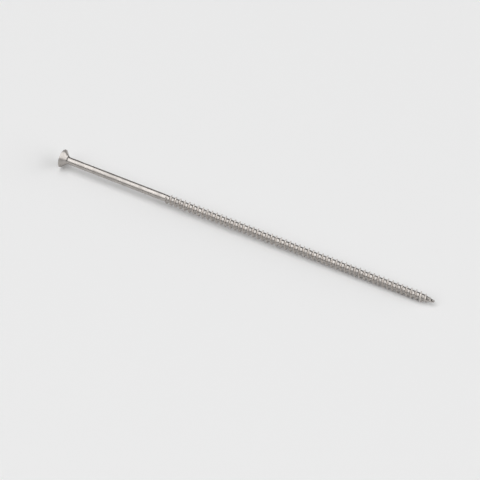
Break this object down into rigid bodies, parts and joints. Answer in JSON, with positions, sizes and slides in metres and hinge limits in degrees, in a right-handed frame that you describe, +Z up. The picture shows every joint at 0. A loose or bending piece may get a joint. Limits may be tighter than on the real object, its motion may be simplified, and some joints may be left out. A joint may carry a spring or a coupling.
{
  "type": "countersunk wood screw",
  "caption": "Long slim countersunk wood screw with a cross recess, plain shank, sharp right-hand wood thread and gimlet point, lying on its side.",
  "frame": {"origin": "middle of the lying screw's outline, on the flat surface that it lies on", "axes": "+Z up from that surface; +X along the screw from the head to the point, within 1 degree, because the screw lies on its head's rim and its thread; +Y to its left seen from the head"},
  "size_m": [0.16, 0.0072, 0.0072],
  "materials": {
    "steel": "bright plain stainless steel, cold-headed and thread-rolled, no coating"
  },
  "bodies": {
    "root": {"wood_screw": "steel"}
  },
  "joints": []
}
